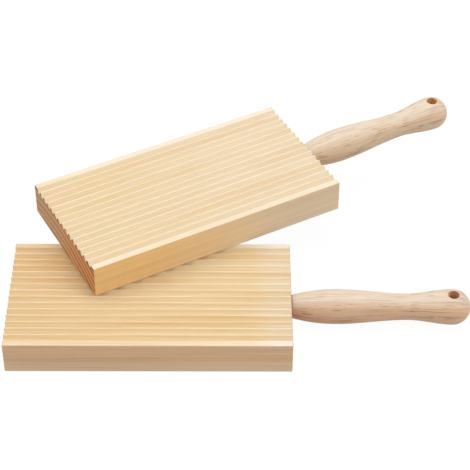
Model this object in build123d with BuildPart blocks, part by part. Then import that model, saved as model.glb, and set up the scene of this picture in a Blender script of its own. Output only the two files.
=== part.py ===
from build123d import *
import os

# A crossed pair of ribbed wooden paddles for rolling gnocchi and butter, in millimetres.
# The origin is the middle of the lower head's underside. +X runs towards the lower handle,
# +Y to the back, where the upper handle points, and +Z up through the ribs.

# Head: a planed softwood block that lies on its flat underside
head_length = 125.0
head_width = 65.0
head_thickness = 16.0
edge_ease = 0.4

# Ribs along the grain of the top face: V grooves with a rounded root, a narrow flat crest between
# each two, and a wider flat land along each side
groove_count = 15
groove_depth = 2.2
groove_root_radius = 0.3
crest_width = 0.6
land_width = 3.0

# Handle: turned hardwood, measured from the shoulder that butts on the head's end
handle_length = 80.0
neck_diameter = 10.2
neck_ease = 0.5
bulge_diameter = 15.6
bulge_place = 20.0
waist_diameter = 11.8
waist_place = 52.0
knob_diameter = 16.0
lead_share = 1 / 3

# Hanging hole, drilled straight down through the middle of the knob
hang_hole_diameter = 5.0
hang_hole_ease = 0.3

# Glued joint: a round tenon on the handle in a blind bore in the head's end
tenon_diameter = 8.0
tenon_length = 25.0
tenon_chamfer = 0.8
glue_gap = 0.1
glue_room = 1.0

# Place of the upper board: the middle of its head from the middle of the lower one, and its turn
upper_shift = 15.5
upper_setback = 56.2
upper_turn = 28.3

# The grooves' cutter stands this far out of the face that it cuts
overrun = 1.0

groove_pitch = (head_width - 2 * land_width + crest_width) / groove_count
groove_width = groove_pitch - crest_width
bore_diameter = tenon_diameter + 2 * glue_gap
bore_depth = tenon_length + glue_room
knob_place = handle_length - knob_diameter / 2

# Section of one groove, with the head's top face at Y zero
with BuildSketch() as groove:
    with BuildLine():
        Polyline(
            (-groove_width / 2, overrun),
            (-groove_width / 2, 0),
            (0, -groove_depth),
            (groove_width / 2, 0),
            (groove_width / 2, overrun),
            close=True,
        )
    make_face()
    fillet(groove.vertices().sort_by(Axis.Y)[0], radius=groove_root_radius)

# Outline of the handle and its tenon above their axis, with the shoulder at X zero
neck = Vector(0, neck_diameter / 2)
bulge = Vector(bulge_place, bulge_diameter / 2)
waist = Vector(waist_place, waist_diameter / 2)
knob = Vector(knob_place, knob_diameter / 2)
bulge_to_waist = lead_share * Vector(waist_place - bulge_place, 0)
waist_to_knob = lead_share * Vector(knob_place - waist_place, 0)

with BuildSketch() as outline:
    with BuildLine():
        Polyline((-tenon_length, 0), (-tenon_length, tenon_diameter / 2), (0, tenon_diameter / 2), neck)
        TangentArc(bulge, neck, tangent=(-1, 0))
        Bezier(bulge, bulge + bulge_to_waist, waist - bulge_to_waist, waist)
        Bezier(waist, waist + waist_to_knob, knob - waist_to_knob, knob)
        RadiusArc(knob, (handle_length, 0), radius=knob_diameter / 2)
        Line((handle_length, 0), (-tenon_length, 0))
    make_face()
    chamfer(outline.vertices().group_by(Axis.X)[0].sort_by(Axis.Y)[-1], length=tenon_chamfer)
    fillet(outline.vertices().filter_by_position(Axis.X, 0, 0).sort_by(Axis.Y)[-1], radius=neck_ease)

# Each board is given by the plane of its underside, with X along it towards the handle
lower_board = Plane.XY
upper_board = Plane((upper_shift, upper_setback, head_thickness)).rotated((0, 0, upper_turn))

os.makedirs("parts", exist_ok=True)
for board_name, board in {"lower": lower_board, "upper": upper_board}.items():
    blank_rim = board.from_local_coords((-head_length / 2, 0, head_thickness))
    blank_end = Plane(blank_rim, board.y_dir, board.x_dir)
    handle_foot = board.from_local_coords((head_length / 2, 0, head_thickness / 2))
    handle_end = Plane(handle_foot, board.y_dir, board.x_dir)

    with BuildPart() as head:
        with BuildSketch(board):
            Rectangle(head_length, head_width)
        extrude(amount=head_thickness)
        fillet(head.edges(), radius=edge_ease)
        with BuildSketch(blank_end):
            with GridLocations(groove_pitch, 0, groove_count, 1):
                add(groove.sketch)
        extrude(amount=head_length, mode=Mode.SUBTRACT)
        with Locations(handle_end):
            Hole(radius=bore_diameter / 2, depth=bore_depth)

    head.part.label = f"{board_name}_head"
    export_step(head.part, f"parts/{board_name}_head.step")

    shoulder = Plane(handle_foot, board.x_dir, board.z_dir)
    knob_centre = Plane(shoulder.from_local_coords((knob_place, 0, 0)), board.x_dir, board.z_dir)

    with BuildPart() as handle:
        with BuildSketch(shoulder):
            add(outline.sketch)
        revolve(axis=Axis(shoulder.origin, shoulder.x_dir))
        with Locations(knob_centre):
            Hole(radius=hang_hole_diameter / 2)
        hole_rims = handle.edges(Select.LAST).filter_by(GeomType.LINE, reverse=True)
        chamfer(hole_rims, length=hang_hole_ease)

    handle.part.label = f"{board_name}_handle"
    export_step(handle.part, f"parts/{board_name}_handle.step")
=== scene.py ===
from math import cos, pi, radians, sin, sqrt

import bmesh
import bpy
from mathutils import Matrix, Vector


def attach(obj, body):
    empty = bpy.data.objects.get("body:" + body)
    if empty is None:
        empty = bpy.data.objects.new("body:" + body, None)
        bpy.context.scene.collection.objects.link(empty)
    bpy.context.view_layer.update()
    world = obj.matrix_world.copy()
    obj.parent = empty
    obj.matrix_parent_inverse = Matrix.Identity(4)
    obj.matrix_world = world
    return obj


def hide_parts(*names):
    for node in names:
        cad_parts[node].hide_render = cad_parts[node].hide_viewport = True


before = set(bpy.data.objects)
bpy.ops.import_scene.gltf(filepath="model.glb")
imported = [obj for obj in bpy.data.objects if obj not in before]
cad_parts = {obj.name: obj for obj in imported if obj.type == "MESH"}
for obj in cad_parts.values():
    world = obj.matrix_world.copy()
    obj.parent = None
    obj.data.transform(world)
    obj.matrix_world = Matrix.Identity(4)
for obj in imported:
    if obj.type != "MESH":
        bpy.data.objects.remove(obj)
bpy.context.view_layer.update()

# A crossed pair of ribbed gnocchi boards in bare wood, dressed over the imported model.
# All lengths are in metres, and patterns in the wood are worked out in millimetres.

mm = 0.001

# The two boards are twins. Each is given by the middle of its underside and its turn.
boards = {
    "lower": {"body": "lower_board", "place": Vector((0, 0, 0)), "turn": 0.0},
    "upper": {"body": "upper_board", "place": Vector((15.5, 56.2, 16.0)) * mm, "turn": radians(28.3)},
}


# Small helpers for node trees

noiseMiddle = 0.5
noiseSpan = (0.2, 0.8)   # a noise keeps between about these


def feed(tree, socket, value):
    # a socket is linked, anything else becomes the input's own value
    if isinstance(value, bpy.types.NodeSocket):
        tree.links.new(value, socket)
    else:
        socket.default_value = value


def addNode(tree, kind, inputs=None, **settings):
    node = tree.nodes.new(kind)
    for name, value in settings.items():
        setattr(node, name, value)
    for name, value in (inputs or {}).items():
        feed(tree, node.inputs[name], value)
    return node


def calc(tree, operation, *values):
    node = addNode(tree, "ShaderNodeMath", operation=operation)
    for socket, value in zip(node.inputs, values):
        feed(tree, socket, value)
    return node.outputs[0]


def calcVector(tree, operation, *values):
    node = addNode(tree, "ShaderNodeVectorMath", operation=operation)
    for socket, value in zip(node.inputs, values):
        feed(tree, socket, value)
    return node.outputs["Value" if operation in ("LENGTH", "DOT_PRODUCT") else "Vector"]


def scaled(tree, vector, factors):
    return calcVector(tree, "MULTIPLY", vector, factors)


def remap(tree, value, fromLow, fromHigh, toLow=0.0, toHigh=1.0, curve="LINEAR"):
    node = addNode(tree, "ShaderNodeMapRange", interpolation_type=curve)
    for socket, number in zip(node.inputs, (value, fromLow, fromHigh, toLow, toHigh)):
        feed(tree, socket, number)
    return node.outputs["Result"]


def splitAxes(tree, vector):
    return addNode(tree, "ShaderNodeSeparateXYZ", {"Vector": vector}).outputs


def joinAxes(tree, x, y, z):
    return addNode(tree, "ShaderNodeCombineXYZ", {"X": x, "Y": y, "Z": z}).outputs["Vector"]


# Ribbed head: a planed block with grooves along its top, made by one node tree for both boards

ribbedHead = {
    "Length": 125 * mm,
    "Width": 65 * mm,
    "Thickness": 16 * mm,
    "Edge Ease": 0.4 * mm,
    "Groove Count": 15,
    "Groove Depth": 2.2 * mm,       # to the sharp point of the V
    "Root Softness": 0.12 * mm,
    "Crest Width": 0.6 * mm,
    "Crest Softness": 0.12 * mm,
    "Land Width": 3 * mm,
    "Wander": 0.05 * mm,            # how far a groove strays from its line
    "Wander Scale": 30.0,           # bends for each metre along the board
    "Wander Stretch": 4.0,          # and how much quicker they change across it
    "End Grain From": 0.50,         # how square to the grain a face is, from none of its end grain
    "End Grain To": 0.85,           # to all of it
    "Rows": 36,                     # cells along the block
    "Groove Columns": 28,           # cells across each groove, and across each land
    "Land Columns": 12,
    "Layers": 5,                    # cells up the block
    "Edge Cells": 5,                # narrow cells at each eased edge
}


def spreadCells(tree, value, half, cells, edgeCells, inner):
    # evenly spaced cells become `cells` even ones inside inner, and edgeCells narrow ones each side
    total = calc(tree, "ADD", cells, calc(tree, "MULTIPLY", edgeCells, 2.0))
    seam = calc(tree, "MULTIPLY", half, calc(tree, "DIVIDE", cells, total))
    size = calc(tree, "ABSOLUTE", value)
    middle = remap(tree, size, 0.0, seam, 0.0, inner)
    outer = remap(tree, size, seam, half, 0.0, calc(tree, "SUBTRACT", half, inner))
    return calc(tree, "MULTIPLY", calc(tree, "ADD", middle, outer), calc(tree, "SIGN", value))


def makeRibbedHeadTree():
    tree = bpy.data.node_groups.new("ribbedHead", "GeometryNodeTree")
    face = tree.interface
    face.new_socket("Geometry", in_out="INPUT", socket_type="NodeSocketGeometry")
    for name, value in ribbedHead.items():
        kind = "NodeSocketInt" if isinstance(value, int) else "NodeSocketFloat"
        face.new_socket(name, in_out="INPUT", socket_type=kind).default_value = value
    face.new_socket("Place", in_out="INPUT", socket_type="NodeSocketVector")
    face.new_socket("Turn", in_out="INPUT", socket_type="NodeSocketFloat")
    face.new_socket("Seed", in_out="INPUT", socket_type="NodeSocketFloat")
    face.new_socket("Wood", in_out="INPUT", socket_type="NodeSocketMaterial")
    face.new_socket("Geometry", in_out="OUTPUT", socket_type="NodeSocketGeometry")
    given = addNode(tree, "NodeGroupInput").outputs

    count = given["Groove Count"]
    land = calc(tree, "MULTIPLY", given["Land Width"], 2.0)
    ribbed = calc(tree, "ADD", calc(tree, "SUBTRACT", given["Width"], land), given["Crest Width"])
    pitch = calc(tree, "DIVIDE", ribbed, count)
    halfLength = calc(tree, "DIVIDE", given["Length"], 2.0)
    halfWidth = calc(tree, "DIVIDE", given["Width"], 2.0)
    halfThickness = calc(tree, "DIVIDE", given["Thickness"], 2.0)
    ease = given["Edge Ease"]
    easeZone = calc(tree, "MULTIPLY", ease, 2.0)    # the narrow cells fill the ease and as much again

    # block of even cells, counted so that each groove gets the same columns
    grooveColumns = calc(tree, "MULTIPLY", count, given["Groove Columns"])
    cellCounts = (
        (given["Rows"], given["Edge Cells"]),
        (grooveColumns, given["Land Columns"]),
        (given["Layers"], given["Edge Cells"]),
    )
    block = addNode(tree, "GeometryNodeMeshCube")
    feed(tree, block.inputs["Size"], joinAxes(tree, given["Length"], given["Width"], given["Thickness"]))
    for axis, (cells, edgeCells) in zip("XYZ", cellCounts):
        points = calc(tree, "ADD", calc(tree, "MULTIPLY", edgeCells, 2.0), calc(tree, "ADD", cells, 1.0))
        feed(tree, block.inputs["Vertices " + axis], points)

    # the cells move together towards the eased edges
    halves = (halfLength, halfWidth, halfThickness)
    inners = (
        calc(tree, "SUBTRACT", halfLength, easeZone),
        calc(tree, "DIVIDE", ribbed, 2.0),
        calc(tree, "SUBTRACT", halfThickness, easeZone),
    )
    even = splitAxes(tree, addNode(tree, "GeometryNodeInputPosition").outputs["Position"])
    spread = [
        spreadCells(tree, value, half, cells, edgeCells, inner)
        for value, half, inner, (cells, edgeCells) in zip(even, halves, inners, cellCounts)
    ]
    spreadPoint = joinAxes(tree, *spread)

    # eased edges: a point outside the inner box goes to one ease's length from it
    innerCorner = joinAxes(tree, *[calc(tree, "SUBTRACT", half, ease) for half in halves])
    farCorner = scaled(tree, innerCorner, (-1, -1, -1))
    core = calcVector(tree, "MINIMUM", calcVector(tree, "MAXIMUM", spreadPoint, farCorner), innerCorner)
    outward = calcVector(tree, "NORMALIZE", calcVector(tree, "SUBTRACT", spreadPoint, core))
    eased = calcVector(tree, "ADD", core, scaled(tree, outward, joinAxes(tree, ease, ease, ease)))
    x, y, z = splitAxes(tree, eased)

    # distance from the nearest groove's middle, which wanders a little along the board
    wanderPlace = joinAxes(tree, x, calc(tree, "MULTIPLY", y, given["Wander Stretch"]), given["Seed"])
    wander = addNode(tree, "ShaderNodeTexNoise", {
        "Vector": wanderPlace,
        "Scale": given["Wander Scale"],
        "Detail": 1.0,
    })
    stray = calc(tree, "SUBTRACT", wander.outputs[0], noiseMiddle)
    y = calc(tree, "ADD", y, calc(tree, "MULTIPLY", stray, given["Wander"]))
    last = calc(tree, "SUBTRACT", count, 1.0)
    along = calc(tree, "ADD", calc(tree, "DIVIDE", y, pitch), calc(tree, "DIVIDE", last, 2.0))
    nearest = calc(tree, "MINIMUM", calc(tree, "MAXIMUM", calc(tree, "ROUND", along), 0.0), last)
    aside = calc(tree, "MULTIPLY", calc(tree, "SUBTRACT", along, nearest), pitch)

    # V section with a soft root and soft crest edges
    halfGroove = calc(tree, "DIVIDE", calc(tree, "SUBTRACT", pitch, given["Crest Width"]), 2.0)
    slope = calc(tree, "DIVIDE", given["Groove Depth"], halfGroove)
    root = calc(tree, "POWER", given["Root Softness"], 2.0)

    def rise(distance):
        squared = calc(tree, "ADD", calc(tree, "POWER", distance, 2.0), root)
        return calc(tree, "MULTIPLY", slope, calc(tree, "SQRT", squared))

    sunk = calc(tree, "SUBTRACT", rise(halfGroove), rise(calc(tree, "ABSOLUTE", aside)))
    depth = calc(tree, "SMOOTH_MAX", sunk, 0.0, given["Crest Softness"])
    up = calc(tree, "ADD", z, halfThickness)
    share = calc(tree, "DIVIDE", up, given["Thickness"])
    lowered = calc(tree, "SUBTRACT", up, calc(tree, "MULTIPLY", depth, share))
    straight = splitAxes(tree, eased)
    shaped = addNode(tree, "GeometryNodeSetPosition", {
        "Geometry": block.outputs["Mesh"],
        "Position": joinAxes(tree, straight["X"], straight["Y"], lowered),
    })

    # where the wood is cut across the grain, for the material
    normal = addNode(tree, "GeometryNodeInputNormal").outputs["Normal"]
    across = calc(tree, "ABSOLUTE", splitAxes(tree, normal)["X"])
    marked = addNode(tree, "GeometryNodeStoreNamedAttribute", {
        "Geometry": shaped.outputs["Geometry"],
        "Name": "endGrain",
        "Value": remap(tree, across, given["End Grain From"], given["End Grain To"], curve="SMOOTHSTEP"),
    }, data_type="FLOAT", domain="POINT")
    smooth = addNode(tree, "GeometryNodeSetShadeSmooth", {"Geometry": marked.outputs["Geometry"]})
    placed = addNode(tree, "GeometryNodeTransform", {
        "Geometry": smooth.outputs["Geometry"],
        "Translation": given["Place"],
        "Rotation": joinAxes(tree, 0.0, 0.0, given["Turn"]),
    })
    real = addNode(tree, "GeometryNodeRealizeInstances", {"Geometry": placed.outputs["Geometry"]})
    dressed = addNode(tree, "GeometryNodeSetMaterial", {
        "Geometry": real.outputs["Geometry"],
        "Material": given["Wood"],
    })
    addNode(tree, "NodeGroupOutput", {"Geometry": dressed.outputs["Geometry"]})
    return tree


def plainMesh(source, name):
    # the evaluated object as a mesh of its own, with no modifier left
    evaluated = source.evaluated_get(bpy.context.evaluated_depsgraph_get())
    mesh = bpy.data.meshes.new_from_object(evaluated)
    mesh.name = name
    bpy.data.objects.remove(source)
    piece = bpy.data.objects.new(name, mesh)
    bpy.context.scene.collection.objects.link(piece)
    return piece


def makeHead(name, board, tree, wood, seed):
    blank = bpy.data.objects.new(name + "Blank", bpy.data.meshes.new(name + "Blank"))
    bpy.context.scene.collection.objects.link(blank)
    modifier = blank.modifiers.new("ribs", "NODES")
    modifier.node_group = tree
    given = dict(ribbedHead, Place=board["place"], Turn=board["turn"], Seed=seed, Wood=wood)
    for item in tree.interface.items_tree:
        if item.in_out == "INPUT" and item.name in given:
            modifier[item.identifier] = given[item.name]
    return plainMesh(blank, name)


# Turned handle, measured from the shoulder that butts on the head's end

turnedHandle = {
    "foot": Vector((62.5, 0, 8)) * mm,   # in the board's own frame
    "length": 80 * mm,
    "neckRadius": 5.1 * mm,
    "neckEase": 0.5 * mm,
    "bulgeRadius": 7.8 * mm,
    "bulgePlace": 20 * mm,
    "waistRadius": 5.9 * mm,
    "waistPlace": 52 * mm,
    "knobRadius": 8 * mm,
    "knobPlace": 72 * mm,
    "stations": 110,
    "easeSteps": 5,
    "tipSteps": 22,
    "segments": 112,
    "holeRadius": 2.5 * mm,
    "countersink": 7.35 * mm,            # above the axis, where the hole starts to flare
    "drillReach": 11.2 * mm,             # above the axis, well clear of the knob
    "holeSegments": 64,
    "sharpAngle": radians(28),
}


def handleRadius(place):
    h = turnedHandle
    if place < h["bulgePlace"]:
        drop = h["bulgeRadius"] - h["neckRadius"]
        arc = (h["bulgePlace"] ** 2 + drop ** 2) / (2 * drop)
        return h["bulgeRadius"] - arc + sqrt(arc ** 2 - (place - h["bulgePlace"]) ** 2)
    if place < h["waistPlace"]:
        start, end = h["bulgePlace"], h["waistPlace"]
        first, second = h["bulgeRadius"], h["waistRadius"]
    else:
        start, end = h["waistPlace"], h["knobPlace"]
        first, second = h["waistRadius"], h["knobRadius"]
    share = (place - start) / (end - start)
    return first + (second - first) * share ** 2 * (3 - 2 * share)


def handleOutline():
    h = turnedHandle
    ease = h["neckEase"]
    shoulder = handleRadius(ease) - ease
    outline = []
    for step in range(h["easeSteps"]):
        angle = pi / 2 * step / h["easeSteps"]
        outline.append((ease * (1 - cos(angle)), shoulder + ease * sin(angle)))
    for step in range(h["stations"]):
        place = ease + (h["knobPlace"] - ease) * step / h["stations"]
        outline.append((place, handleRadius(place)))
    for step in range(h["tipSteps"]):
        angle = pi / 2 * step / h["tipSteps"]
        outline.append((h["knobPlace"] + h["knobRadius"] * sin(angle), h["knobRadius"] * cos(angle)))
    return outline


def turnOnLathe(name, outline, segments, frontPole, backPole, matrix):
    # hoops of the outline about the X axis, closed to a point at both ends
    work = bmesh.new()
    angles = [2 * pi * s / segments for s in range(segments)]
    hoops = []
    for place, radius in outline:
        hoops.append([work.verts.new((place, radius * cos(a), radius * sin(a))) for a in angles])
    for hoop, following in zip(hoops, hoops[1:]):
        for s in range(segments):
            t = (s + 1) % segments
            work.faces.new((hoop[s], hoop[t], following[t], following[s]))
    for hoop, pole in ((hoops[0], frontPole), (hoops[-1], backPole)):
        point = work.verts.new((pole, 0, 0))
        for s in range(segments):
            work.faces.new((hoop[s], hoop[(s + 1) % segments], point))
    bmesh.ops.recalc_face_normals(work, faces=work.faces)
    work.transform(matrix)
    for f in work.faces:
        f.smooth = True
    mesh = bpy.data.meshes.new(name)
    work.to_mesh(mesh)
    work.free()
    turned = bpy.data.objects.new(name, mesh)
    bpy.context.scene.collection.objects.link(turned)
    return turned


def makeHandle(name, board, wood):
    h = turnedHandle
    boardMatrix = Matrix.Translation(board["place"]) @ Matrix.Rotation(board["turn"], 4, "Z")
    handleMatrix = boardMatrix @ Matrix.Translation(h["foot"])
    blank = turnOnLathe(name + "Blank", handleOutline(), h["segments"], 0, h["length"], handleMatrix)

    # the drill and countersink stand upright in the middle of the knob
    flare = h["countersink"]
    reach = h["drillReach"]
    wide = h["holeRadius"] + reach - flare
    drillOutline = [(-reach, wide), (-flare, h["holeRadius"]), (flare, h["holeRadius"]), (reach, wide)]
    upright = Matrix.Translation((h["knobPlace"], 0, 0)) @ Matrix.Rotation(-pi / 2, 4, "Y")
    drillMatrix = handleMatrix @ upright
    drill = turnOnLathe(name + "Drill", drillOutline, h["holeSegments"], -reach, reach, drillMatrix)
    cut = blank.modifiers.new("hangingHole", "BOOLEAN")
    cut.operation = "DIFFERENCE"
    cut.object = drill
    handle = plainMesh(blank, name)
    bpy.data.objects.remove(drill)
    handle.data.set_sharp_from_angle(angle=h["sharpAngle"])
    handle.data.materials.clear()
    handle.data.materials.append(wood)
    return handle


# Wood. Places in it are in millimetres, in the piece's own frame, and a span goes from where
# something starts to where all of it is there.

def woodFrame(tree, place, turn):
    # the point in the piece's own frame, in millimetres
    spot = addNode(tree, "ShaderNodeTexCoord").outputs["Object"]
    return addNode(tree, "ShaderNodeMapping", {
        "Vector": spot,
        "Location": place,
        "Rotation": (0, 0, turn),
        "Scale": (mm, mm, mm),
    }, vector_type="TEXTURE").outputs["Vector"]


def noise(tree, point, perMm, detail=2.0, roughness=0.5):
    node = addNode(tree, "ShaderNodeTexNoise", {
        "Vector": scaled(tree, point, perMm),
        "Scale": 1.0,
        "Detail": detail,
        "Roughness": roughness,
    })
    return node.outputs[0]


def fade(tree, value, span):
    # softly from 0 at the span's first value to 1 at its second
    return remap(tree, value, *span, curve="SMOOTHSTEP")


def ripple(tree, pattern, strength, span=noiseSpan):
    # a noise made a factor that sways about 1
    return remap(tree, pattern, *span, 1 - strength, 1 + strength)


def mixColours(tree, factor, first, second, blend="MIX"):
    # the node has sockets of each kind, and these are its ones for colours
    node = addNode(tree, "ShaderNodeMix", data_type="RGBA", blend_type=blend)
    for number, value in ((0, factor), (6, first), (7, second)):
        feed(tree, node.inputs[number], value)
    return node.outputs[2]


def tinted(tree, colour, factor, tint):
    return mixColours(tree, factor, colour, tint, "MULTIPLY")


def shaded(tree, colour, factor):
    return calcVector(tree, "MULTIPLY", colour, joinAxes(tree, factor, factor, factor))


def ramp(tree, value, stops):
    node = addNode(tree, "ShaderNodeValToRGB", {"Fac": value})
    elements = node.color_ramp.elements
    while len(elements) < len(stops):
        elements.new(0.5)
    for element, (position, level) in zip(elements, stops):
        element.position = position
        element.color = (level, level, level, 1)
    return node.outputs["Color"]


def rings(tree, point, look):
    # growth rings about a pith outside the piece: a point's place in its ring, and that ring's own number
    x, y, z = splitAxes(tree, point)
    drift = calc(tree, "MULTIPLY", x, look["drift"])
    rise = calc(tree, "MULTIPLY", x, look["rise"])
    side = calc(tree, "ADD", calc(tree, "SUBTRACT", y, look["pithSide"]), drift)
    down = calc(tree, "ADD", calc(tree, "ADD", z, look["pithDepth"]), rise)
    away = calcVector(tree, "LENGTH", joinAxes(tree, 0.0, side, down))
    bend = calc(tree, "SUBTRACT", noise(tree, point, **look["bendNoise"]), noiseMiddle)
    away = calc(tree, "ADD", away, calc(tree, "MULTIPLY", bend, look["bend"]))
    age = calc(tree, "DIVIDE", away, look["ringGap"])
    uneven = addNode(tree, "ShaderNodeTexNoise", {
        "W": age,
        "Scale": look["unevenPerRing"],
        "Detail": 1.0,
    }, noise_dimensions="1D")
    age = calc(tree, "ADD", age, calc(tree, "MULTIPLY", uneven.outputs[0], look["unevenRings"]))
    year = addNode(tree, "ShaderNodeTexWhiteNoise", {"W": calc(tree, "FLOOR", age)}, noise_dimensions="1D")
    return calc(tree, "FRACT", age), year.outputs["Value"]


def newMaterial(name):
    material = bpy.data.materials.new(name)
    material.use_nodes = True
    return material, material.node_tree


def finishWood(tree, shader, colour, fibre, fine, ridge, look):
    # streaks along the fibres and fine grit, in colour and relief, and one more pattern in relief alone
    streaks = ripple(tree, fibre, look["fibreStrength"])
    grit = ripple(tree, fine, look["fineStrength"])
    feed(tree, shader.inputs["Base Color"], shaded(tree, colour, calc(tree, "MULTIPLY", streaks, grit)))
    shader.inputs["Specular IOR Level"].default_value = look["specular"]
    fineHeight = calc(tree, "MULTIPLY", fine, look["fineHeight"])
    fibreHeight = calc(tree, "MULTIPLY", fibre, look["fibreHeight"])
    height = calc(tree, "ADD", fineHeight, fibreHeight)
    height = calc(tree, "ADD", height, calc(tree, "MULTIPLY", ridge, look["ridgeHeight"]))
    bump = addNode(tree, "ShaderNodeBump", {
        "Height": height,
        "Distance": look["relief"],
        "Strength": look["reliefStrength"],
    })
    feed(tree, shader.inputs["Normal"], bump.outputs["Normal"])


# The head's softwood

headZones = {
    "land": (29.4, 29.7),                    # out from the middle, where the planed lands start
    "crest": (15.75, 15.95),                 # up from the underside, where crests and lands start
    "paintedGrooveLight": (15.75, 15.0),                 # down a groove's wall, to all of its painted light and shade
    "side": (32.25, 32.45),                  # out from the middle, where the narrow sides start
    "rim": (13.4, 15.2),                     # up the ends, where the cutter darkened the ribs
}

softwoodLook = {
    # growth rings
    "pithSide": 10.0,
    "pithDepth": 84.0,
    "drift": 0.020,                          # how far the pith moves aside and up for each mm along
    "rise": 0.012,
    "bend": 1.8,                             # how far the rings stray
    "bendNoise": {"perMm": (0.010, 0.030, 0.030), "detail": 1.0},
    "ringGap": 3.8,
    "unevenRings": 0.7,
    "unevenPerRing": 0.45,
    "faintYear": 0.45,                       # what the faintest ring keeps of its dark late wood
    "lateRamp": ((0.0, 0.15), (0.15, 0.0), (0.45, 0.10), (0.80, 0.75), (0.92, 1.0), (1.0, 0.30)),
    "lateTint": (0.800, 0.620, 0.420, 1),
    "lateOnTop": 0.13,
    "lateOnSide": 0.18,

    # wide faces
    "topSpan": (-50.0, 50.0),                # along the board, from the near colour to the far one
    "topNear": (0.843, 0.691, 0.477, 1),
    "topFar": (0.841, 0.710, 0.528, 1),
    "paleSpan": (42.0, 56.0),                # the last stretch before the handle
    "paleEnd": (1.000, 1.000, 1.000, 1),     # its tint: none, unless a board has its own
    "patchNoise": {"perMm": (0.012, 0.18, 0.18)},
    "patchSpan": (0.45, 0.65),
    "honey": (0.950, 0.840, 0.660, 1),       # tint of the warmer patches
    "honeyShare": 0.35,
    "planedNear": (0.993, 1.041, 1.150, 1),  # tint of the planed lands along both sides
    "planedFar": (0.991, 1.031, 1.107, 1),
    "paintedGrooveLight": (0.980, 0.990, 0.995, 1),      # tint of the grooves' walls, painted shade that darkens them a little

    # narrow sides
    "sideSpan": (-40.0, 45.0),
    "sideNear": (0.809, 0.543, 0.318, 1),
    "sideFar": (0.802, 0.545, 0.322, 1),
    "streakNoise": {"perMm": (0.010, 0.80, 1.10), "detail": 3.0, "roughness": 0.6},
    "streakSpan": (0.3, 0.7),
    "sideStreak": 0.09,
    "tableBounceSpan": (7.5, 0.0),                  # painted bounce light from the white table, growing down to the lower edge
    # the foot's tint is painted bounce light from the white table
    "foot": (1.030, 1.050, 1.120, 1),
    "bandHeight": 8.0,
    "bandReach": 3.0,                        # above and below that height
    "band": (1.000, 1.000, 1.000, 1),        # tint of a band half way up: none, unless a board has one
    "bandStart": 0.35,                       # how much of it there is at the near end
    "bandFull": 0.5,                         # how far along it is all there

    # ends, cut across the grain
    "endEarly": (0.790, 0.460, 0.240, 1),
    "endLate": (0.390, 0.110, 0.032, 1),
    "endRamp": ((0.0, 0.35), (0.12, 0.0), (0.45, 0.12), (0.70, 0.85), (0.90, 1.0), (1.0, 0.45)),
    "faintEndYear": 0.80,
    "endSpan": (-32.0, 14.0),                # across the board, from the front tint to the back one
    "endFront": (0.912, 0.776, 0.582, 1),
    "endBack": (0.923, 1.055, 1.142, 1),
    "faintRings": 0.50,                      # how much of the rings' contrast is left at the back
    "ringMiddle": 0.40,                      # the share of late wood to which the faint rings go
    "poreNoise": {"perMm": (0.3, 5.0, 5.0), "detail": 3.0, "roughness": 0.6},
    "poreSpan": (0.45, 0.75),
    "poreDark": 0.20,
    "rimDark": 0.50,

    # surface
    "fibreNoise": {"perMm": (0.030, 1.5, 1.5), "detail": 4.0, "roughness": 0.6},
    "fibreStrength": 0.05,
    "fineNoise": {"perMm": (0.22, 6.5, 6.5)},
    "fineStrength": 0.04,
    "roughEarly": 0.66,
    "roughLate": 0.50,
    "roughEnd": 0.85,
    "specular": 0.30,
    "fineHeight": 0.6,
    "fibreHeight": 0.8,
    "ridgeHeight": 0.3,                      # of the late wood
    "relief": 0.04 * mm,
    "reliefStrength": 0.8,
}


def wideFaceColour(tree, point, look):
    # pale, with patches of a warmer tint, planed lands, and painted light and shade on the grooves' walls
    x, y, z = splitAxes(tree, point)
    along = fade(tree, x, look["topSpan"])
    top = mixColours(tree, along, look["topNear"], look["topFar"])
    top = tinted(tree, top, fade(tree, x, look["paleSpan"]), look["paleEnd"])
    warm = fade(tree, noise(tree, point, **look["patchNoise"]), look["patchSpan"])
    top = tinted(tree, top, calc(tree, "MULTIPLY", warm, look["honeyShare"]), look["honey"])
    onLand = remap(tree, calc(tree, "ABSOLUTE", y), *headZones["land"])
    onLand = calc(tree, "MULTIPLY", onLand, remap(tree, z, *headZones["crest"]))
    planed = mixColours(tree, along, look["planedNear"], look["planedFar"])
    top = tinted(tree, top, onLand, planed)
    # painted light and shade on the grooves' walls, growing deeper down
    return tinted(tree, top, remap(tree, z, *headZones["paintedGrooveLight"]), look["paintedGrooveLight"])


def narrowSideColour(tree, point, look):
    # deeper in colour, with thin lines along the grain, a band half way up and painted bounce light from
    # the table at the foot
    x, y, z = splitAxes(tree, point)
    along = fade(tree, x, look["sideSpan"])
    side = mixColours(tree, along, look["sideNear"], look["sideFar"])
    streak = noise(tree, point, **look["streakNoise"])
    side = shaded(tree, side, ripple(tree, streak, look["sideStreak"], look["streakSpan"]))
    # painted bounce light from the white table, paler towards the lower edge
    side = tinted(tree, side, remap(tree, z, *look["tableBounceSpan"]), look["foot"])
    fromBand = calc(tree, "ABSOLUTE", calc(tree, "SUBTRACT", z, look["bandHeight"]))
    inBand = fade(tree, fromBand, (look["bandReach"], 0.0))
    bandShare = remap(tree, along, 0.0, look["bandFull"], look["bandStart"], 1.0)
    return tinted(tree, side, calc(tree, "MULTIPLY", inBand, bandShare), look["band"])


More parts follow.
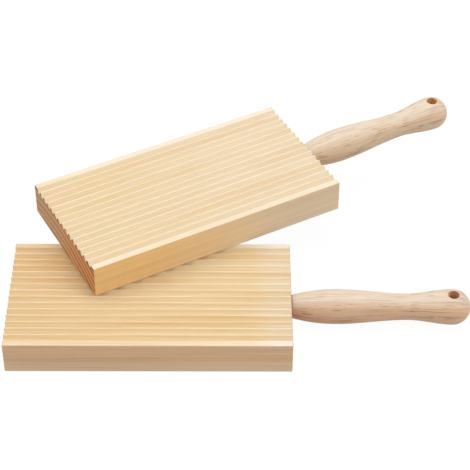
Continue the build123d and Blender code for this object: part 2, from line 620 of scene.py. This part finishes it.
def endColour(tree, point, ring, year, look):
    # redder, with the rings as strong lines, fine pores and darker rib ends
    x, y, z = splitAxes(tree, point)
    share = ramp(tree, ring, look["endRamp"])
    share = calc(tree, "MULTIPLY", share, remap(tree, year, 0.0, 1.0, look["faintEndYear"], 1.0))
    toBack = fade(tree, y, look["endSpan"])
    contrast = remap(tree, toBack, 0.0, 1.0, 1.0, look["faintRings"])
    fromMiddle = calc(tree, "SUBTRACT", share, look["ringMiddle"])
    share = calc(tree, "ADD", calc(tree, "MULTIPLY", fromMiddle, contrast), look["ringMiddle"])
    pores = noise(tree, point, **look["poreNoise"])
    share = calc(tree, "ADD", share, remap(tree, pores, *look["poreSpan"], 0.0, look["poreDark"]))
    share = calc(tree, "ADD", share, remap(tree, z, *headZones["rim"], 0.0, look["rimDark"]))
    end = mixColours(tree, share, look["endEarly"], look["endLate"])
    return tinted(tree, end, 1.0, mixColours(tree, toBack, look["endFront"], look["endBack"]))


def makeSoftwood(name, board, changes):
    look = dict(softwoodLook, **changes)
    material, tree = newMaterial(name)
    shader = tree.nodes["Principled BSDF"]
    point = woodFrame(tree, board["place"], board["turn"])
    ring, year = rings(tree, point, look)

    # faces along the grain, with the late wood as darker lines
    out = calc(tree, "ABSOLUTE", splitAxes(tree, point)["Y"])
    onSide = remap(tree, out, *headZones["side"])
    top = wideFaceColour(tree, point, look)
    side = narrowSideColour(tree, point, look)
    face = mixColours(tree, onSide, top, side)
    late = ramp(tree, ring, look["lateRamp"])
    late = calc(tree, "MULTIPLY", late, remap(tree, year, 0.0, 1.0, look["faintYear"], 1.0))
    lateShare = remap(tree, onSide, 0.0, 1.0, look["lateOnTop"], look["lateOnSide"])
    face = tinted(tree, face, calc(tree, "MULTIPLY", late, lateShare), look["lateTint"])

    # the ends are cut across the grain
    cut = addNode(tree, "ShaderNodeAttribute", attribute_name="endGrain").outputs["Fac"]
    colour = mixColours(tree, cut, face, endColour(tree, point, ring, year, look))
    roughness = remap(tree, late, 0.0, 1.0, look["roughEarly"], look["roughLate"])
    roughness = calc(tree, "MAXIMUM", roughness, calc(tree, "MULTIPLY", cut, look["roughEnd"]))
    feed(tree, shader.inputs["Roughness"], roughness)
    fibre = noise(tree, point, **look["fibreNoise"])
    fine = noise(tree, point, **look["fineNoise"])
    finishWood(tree, shader, colour, fibre, fine, late, look)
    return material


# The handle's beech

beechLook = {
    # growth rings
    "pithSide": -38.0,
    "pithDepth": 26.0,
    "drift": 0.05,
    "rise": -0.03,
    "bend": 2.6,
    "bendNoise": {"perMm": (0.022, 0.060, 0.060), "detail": 1.0},
    "ringGap": 2.3,
    "unevenRings": 1.2,
    "unevenPerRing": 0.45,
    "faintYear": 0.4,
    "line": (0.700, 0.540, 0.420, 1),        # tint of the growth lines
    "lineStrength": 0.50,
    "lineRamp": ((0.0, 0.35), (0.10, 0.0), (0.50, 0.05), (0.82, 0.35), (0.93, 1.0), (1.0, 0.35)),
    "lineNoise": {"perMm": (0.09, 0.5, 0.5)},
    "lineSpan": (0.35, 0.65),
    "faintLine": 0.15,                       # what a line keeps where it is weakest

    # ground colour
    "upperSideAndSheen": (0.738, 0.605, 0.470, 1),   # paler above and pinker below: partly the wood's own colour, partly painted sheen above and painted shade below
    "lowerSideAndShade": (0.760, 0.502, 0.324, 1),
    "sheenToShadeSpan": (0.98, 0.52),               # height over radius, from the upper colour with painted sheen to the lower one with painted shade
    "patchNoise": {"perMm": (0.020, 0.45, 0.45), "detail": 3.0, "roughness": 0.6},
    "patchSpan": (0.30, 0.70),
    "patchSway": 0.17,                       # how far the patches push the two colours up and down
    "blush": (0.940, 0.872, 0.828, 1),       # tint of the redder part near the neck
    "blushSpan": (46.0, 12.0),
    "blushDown": (3.0, -3.0),                # from above the axis to below it

    # marks, laid on a cylinder of this radius
    "evenRadius": 7.0,
    "thread": (0.600, 0.430, 0.320, 1),      # tint of the long thin lines
    "threadNoise": {"perMm": (0.006, 0.80, 0.80), "detail": 1.0},
    "threadWidth": 0.026,
    "threadPartNoise": {"perMm": (0.045, 0.30, 0.30), "detail": 1.0},
    "threadPartSpan": (0.43, 0.55),
    "threadStrength": 0.80,
    "fleck": (0.560, 0.390, 0.285, 1),       # tint of the short dashes
    "fleckStrength": 0.90,
    "fleckCell": (7.0, 0.55, 0.55),          # one fleck's room, along and across
    "fleckSize": 0.44,
    "fleckChance": 0.20,                     # below this a cell has none
    "fleckSoft": 0.10,
    "crowdNoise": {"perMm": (0.06, 0.20, 0.20), "detail": 1.0},
    "crowdSpan": (0.40, 0.60),
    "crowdLeast": 0.2,

    # hanging hole, and a dark line at the shoulder
    "hole": (0.730, 0.460, 0.285, 1),
    "holeOutside": 0.10,                     # the hole's colour starts this far outside its wall
    "holeInside": 0.02,
    "mottleNoise": {"perMm": (1.1, 1.1, 0.7), "roughness": 0.6},
    "mottleSpan": (0.40, 0.60),
    "mottle": 0.20,
    "shoulderLine": (0.420, 0.270, 0.150, 1),
    "shoulderLineSpan": (0.9, 0.25),

    # surface
    "fibreNoise": {"perMm": (0.04, 1.7, 1.7), "detail": 4.0, "roughness": 0.6},
    "fibreStrength": 0.12,
    "fineNoise": {"perMm": (0.30, 6.0, 6.0)},
    "fineStrength": 0.06,
    "roughGround": 0.52,
    "roughFleck": 0.42,
    "specular": 0.34,
    "fineHeight": 0.5,
    "fibreHeight": 0.7,
    "ridgeHeight": -0.5,                     # of the flecks, which lie lower
    "relief": 0.04 * mm,
    "reliefStrength": 0.7,
}


def threadLines(tree, around, look):
    # long thin lines where a stretched noise passes its middle, broken into lengths
    level = noise(tree, around, **look["threadNoise"])
    off = calc(tree, "ABSOLUTE", calc(tree, "SUBTRACT", level, noiseMiddle))
    part = noise(tree, around, **look["threadPartNoise"])
    line = fade(tree, off, (look["threadWidth"], 0.0))
    return calc(tree, "MULTIPLY", line, fade(tree, part, look["threadPartSpan"]))


def rayFlecks(tree, point, around, look):
    # short lens-shaped dashes along the grain, in some of the cells only
    roomAlong, roomAcross, roomDeep = look["fleckCell"]
    cells = addNode(tree, "ShaderNodeTexVoronoi", {
        "Vector": scaled(tree, around, (1 / roomAlong, 1 / roomAcross, 1 / roomDeep)),
        "Scale": 1.0,
    })
    chance = splitAxes(tree, cells.outputs["Color"])["X"]
    size = calc(tree, "MULTIPLY", remap(tree, chance, look["fleckChance"], 1.0), look["fleckSize"])
    dash = remap(tree, calc(tree, "SUBTRACT", size, cells.outputs["Distance"]), 0.0, look["fleckSoft"])
    crowd = noise(tree, point, **look["crowdNoise"])
    return calc(tree, "MULTIPLY", dash, remap(tree, crowd, *look["crowdSpan"], look["crowdLeast"], 1.0))


def makeBeech(name, board, changes):
    look = dict(beechLook, **changes)
    h = turnedHandle
    material, tree = newMaterial(name)
    shader = tree.nodes["Principled BSDF"]
    foot = board["place"] + Matrix.Rotation(board["turn"], 3, "Z") @ h["foot"]
    point = woodFrame(tree, foot, board["turn"])
    ring, year = rings(tree, point, look)
    x, y, z = splitAxes(tree, point)

    # the same point laid on an even cylinder, so that fine lines keep to the turned surface
    radius = calcVector(tree, "LENGTH", joinAxes(tree, 0.0, y, z))
    evenOut = calc(tree, "DIVIDE", look["evenRadius"], radius)
    around = calcVector(tree, "MULTIPLY", point, joinAxes(tree, 1.0, evenOut, evenOut))

    # ground colour: pale above and pink below, partly the wood's own colour and partly painted sheen and
    # shade, in patches, and redder near the neck
    patch = noise(tree, point, **look["patchNoise"])
    sway = remap(tree, patch, *look["patchSpan"], -look["patchSway"], look["patchSway"])
    upward = calc(tree, "ADD", calc(tree, "DIVIDE", z, radius), sway)
    colour = mixColours(tree, fade(tree, upward, look["sheenToShadeSpan"]), look["upperSideAndSheen"], look["lowerSideAndShade"])
    blush = calc(tree, "MULTIPLY", fade(tree, x, look["blushSpan"]), fade(tree, z, look["blushDown"]))
    colour = tinted(tree, colour, blush, look["blush"])

    # growth lines, threads and flecks
    line = ramp(tree, ring, look["lineRamp"])
    lineNoise = noise(tree, point, **look["lineNoise"])
    line = calc(tree, "MULTIPLY", line, remap(tree, lineNoise, *look["lineSpan"], look["faintLine"], 1.0))
    line = calc(tree, "MULTIPLY", line, remap(tree, year, 0.0, 1.0, look["faintYear"], 1.0))
    colour = tinted(tree, colour, calc(tree, "MULTIPLY", line, look["lineStrength"]), look["line"])
    thread = calc(tree, "MULTIPLY", threadLines(tree, around, look), look["threadStrength"])
    colour = tinted(tree, colour, thread, look["thread"])
    fleck = rayFlecks(tree, point, around, look)
    colour = tinted(tree, colour, calc(tree, "MULTIPLY", fleck, look["fleckStrength"]), look["fleck"])

    # darker and mottled inside the drilled hole, and dark in a narrow band at the shoulder
    fromKnob = calc(tree, "SUBTRACT", x, h["knobPlace"] / mm)
    fromHole = calcVector(tree, "LENGTH", joinAxes(tree, fromKnob, y, 0.0))
    wall = h["holeRadius"] / mm
    inHole = remap(tree, fromHole, wall + look["holeOutside"], wall + look["holeInside"])
    mottle = ripple(tree, noise(tree, point, **look["mottleNoise"]), look["mottle"], look["mottleSpan"])
    colour = mixColours(tree, inHole, colour, shaded(tree, look["hole"][:3], mottle))
    colour = mixColours(tree, remap(tree, x, *look["shoulderLineSpan"]), colour, look["shoulderLine"])

    roughness = remap(tree, fleck, 0.0, 1.0, look["roughGround"], look["roughFleck"])
    feed(tree, shader.inputs["Roughness"], roughness)
    fibre = noise(tree, around, **look["fibreNoise"])
    fine = noise(tree, point, **look["fineNoise"])
    finishWood(tree, shader, colour, fibre, fine, fleck, look)
    return material


# What sets one board's wood apart from the other's

boardWood = {
    "lower": {
        "seed": 2.0,
        "head": {
            "pithSide": -95.0,
            "pithDepth": 28.0,
            "ringGap": 2.7,
            "topNear": (0.796, 0.613, 0.376, 1),
            "topFar": (0.805, 0.652, 0.422, 1),
            "honeyShare": 0.60,
            "lateOnTop": 0.34,
            "paleEnd": (1.000, 1.045, 1.200, 1),
            "planedNear": (1.016, 1.026, 1.160, 1),
            "planedFar": (1.056, 1.135, 1.366, 1),
            # painted light on the grooves' walls, lifting their shading
            "paintedGrooveLight": (1.058, 1.072, 1.055, 1),
            "sideStreak": 0.12,
            "sideNear": (0.818, 0.548, 0.318, 1),
            "sideFar": (0.826, 0.564, 0.340, 1),
            # painted bounce light from the white table on the sides' lower part
            "foot": (1.090, 1.225, 1.440, 1),
            "band": (0.945, 0.890, 0.790, 1),
        },
        "handle": {},
    },
    "upper": {
        "seed": 5.0,
        "head": {
            # the narrow sides are more golden away from the handle, partly the wood's own colour and
            # partly painted warm bounce light from the lower board
            "sideSpan": (-48.0, 34.0),
            "sideNear": (0.900, 0.598, 0.262, 1),
            "sideFar": (0.848, 0.662, 0.445, 1),
        },
        "handle": {
            # paler top and pinker underside: partly the wood's own colour, partly painted sheen and shade
            "upperSideAndSheen": (0.742, 0.616, 0.474, 1),
            "lowerSideAndShade": (0.748, 0.552, 0.370, 1),
            "blush": (0.970, 0.930, 0.900, 1),
            "pithSide": 30.0,
            "hole": (0.740, 0.450, 0.215, 1),
        },
    },
}

ribTree = makeRibbedHeadTree()
for boardName, board in boards.items():
    wood = boardWood[boardName]
    headWood = makeSoftwood(boardName + "HeadWood", board, wood["head"])
    head = makeHead(boardName + "RibbedHead", board, ribTree, headWood, wood["seed"])
    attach(head, board["body"])
    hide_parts(boardName + "_head")
    print(boardName, "head:", len(head.data.polygons), "faces")

    handleWood = makeBeech(boardName + "HandleWood", board, wood["handle"])
    handle = makeHandle(boardName + "TurnedHandle", board, handleWood)
    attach(handle, board["body"])
    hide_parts(boardName + "_handle")
    print(boardName, "handle:", len(handle.data.polygons), "faces")


# Studio: white table, a large soft lamp above, one at each side and an even fill

studio = {
    "tableSize": 6.0,
    "tableDrop": 0.05 * mm,
    "tableColour": (0.58, 0.58, 0.58, 1),    # what it throws back on the wood
    "seenGlow": 0.954,                       # what the camera sees of it without any lamp
    "seenColour": (0.06, 0.06, 0.06, 1),     # what shadows take from
    "fill": 0.48,
}

lamps = {
    "overheadLamp": {"power": 7.2, "size": 0.9, "place": (0.00, 0.30, 1.15), "aim": (0.03, 0.05, 0)},
    "rightLamp": {"power": 3.6, "size": 0.6, "place": (0.90, -0.30, 0.75), "aim": (0.03, 0.05, 0)},
    "leftLamp": {"power": 2.4, "size": 0.6, "place": (-0.90, 0.10, 0.65), "aim": (0.03, 0.05, 0)},
}


def seenRays(tree):
    # 1 for rays that show this surface as it is: to the camera, in a gloss or through glass
    rays = addNode(tree, "ShaderNodeLightPath").outputs
    seen = calc(tree, "MAXIMUM", rays["Is Camera Ray"], rays["Is Glossy Ray"])
    return calc(tree, "MAXIMUM", seen, rays["Is Transmission Ray"])


def makeTable():
    half = studio["tableSize"] / 2
    level = -studio["tableDrop"]
    mesh = bpy.data.meshes.new("table")
    corners = [(-half, -half, level), (half, -half, level), (half, half, level), (-half, half, level)]
    mesh.from_pydata(corners, [], [(0, 1, 2, 3)])
    table = bpy.data.objects.new("table", mesh)
    bpy.context.scene.collection.objects.link(table)
    material, tree = newMaterial("whiteTable")
    tree.nodes.clear()
    bounced = addNode(tree, "ShaderNodeBsdfDiffuse", {"Color": studio["tableColour"]}).outputs["BSDF"]
    shadowed = addNode(tree, "ShaderNodeBsdfDiffuse", {"Color": studio["seenColour"]}).outputs["BSDF"]
    glow = addNode(tree, "ShaderNodeEmission", {"Strength": studio["seenGlow"]}).outputs["Emission"]
    seen = addNode(tree, "ShaderNodeAddShader")
    feed(tree, seen.inputs[0], shadowed)
    feed(tree, seen.inputs[1], glow)
    mix = addNode(tree, "ShaderNodeMixShader")
    for socket, value in zip(mix.inputs, (seenRays(tree), bounced, seen.outputs["Shader"])):
        feed(tree, socket, value)
    addNode(tree, "ShaderNodeOutputMaterial", {"Surface": mix.outputs["Shader"]})
    mesh.materials.append(material)


def makeWorld():
    world = bpy.data.worlds.new("studio")
    world.use_nodes = True
    bpy.context.scene.world = world
    tree = world.node_tree
    background = tree.nodes["Background"]
    background.inputs["Color"].default_value = (1, 1, 1, 1)
    feed(tree, background.inputs["Strength"], remap(tree, seenRays(tree), 0.0, 1.0, studio["fill"], 1.0))


def makeLamp(name, lamp):
    data = bpy.data.lights.new(name, "AREA")
    data.energy = lamp["power"]
    data.size = lamp["size"]
    piece = bpy.data.objects.new(name, data)
    piece.location = lamp["place"]
    towards = Vector(lamp["aim"]) - Vector(lamp["place"])
    piece.rotation_euler = towards.to_track_quat("-Z", "Y").to_euler()
    bpy.context.scene.collection.objects.link(piece)


# Camera, fitted to the corners of both boards in the photograph

photoCamera = {
    "lens": 128.23,
    "sensor": 36.0,
    "elevation": radians(41.951),
    "azimuth": radians(-0.184),
    "roll": radians(0.257),
    "target": Vector((37.568, 56.447, 0)) * mm,
    "distance": 793.55 * mm,
    "clipStart": 10 * mm,
}


def makeCamera():
    c = photoCamera
    level = cos(c["elevation"])
    back = Vector((sin(c["azimuth"]) * level, -cos(c["azimuth"]) * level, sin(c["elevation"])))
    right = Vector((0, 0, 1)).cross(back).normalized()
    up = back.cross(right)
    turn = Matrix.Rotation(c["roll"], 3, back)
    axes = Matrix((turn @ right, turn @ up, back)).transposed()
    data = bpy.data.cameras.new("photoCamera")
    data.lens = c["lens"]
    data.sensor_width = c["sensor"]
    data.sensor_fit = "HORIZONTAL"
    data.clip_start = c["clipStart"]
    camera = bpy.data.objects.new("photoCamera", data)
    camera.matrix_world = Matrix.Translation(c["target"] + back * c["distance"]) @ axes.to_4x4()
    bpy.context.scene.collection.objects.link(camera)
    bpy.context.scene.camera = camera


makeTable()
makeWorld()
for lampName, lamp in lamps.items():
    makeLamp(lampName, lamp)
makeCamera()
bpy.context.scene.view_settings.view_transform = "Standard"
print("studio and camera ready")
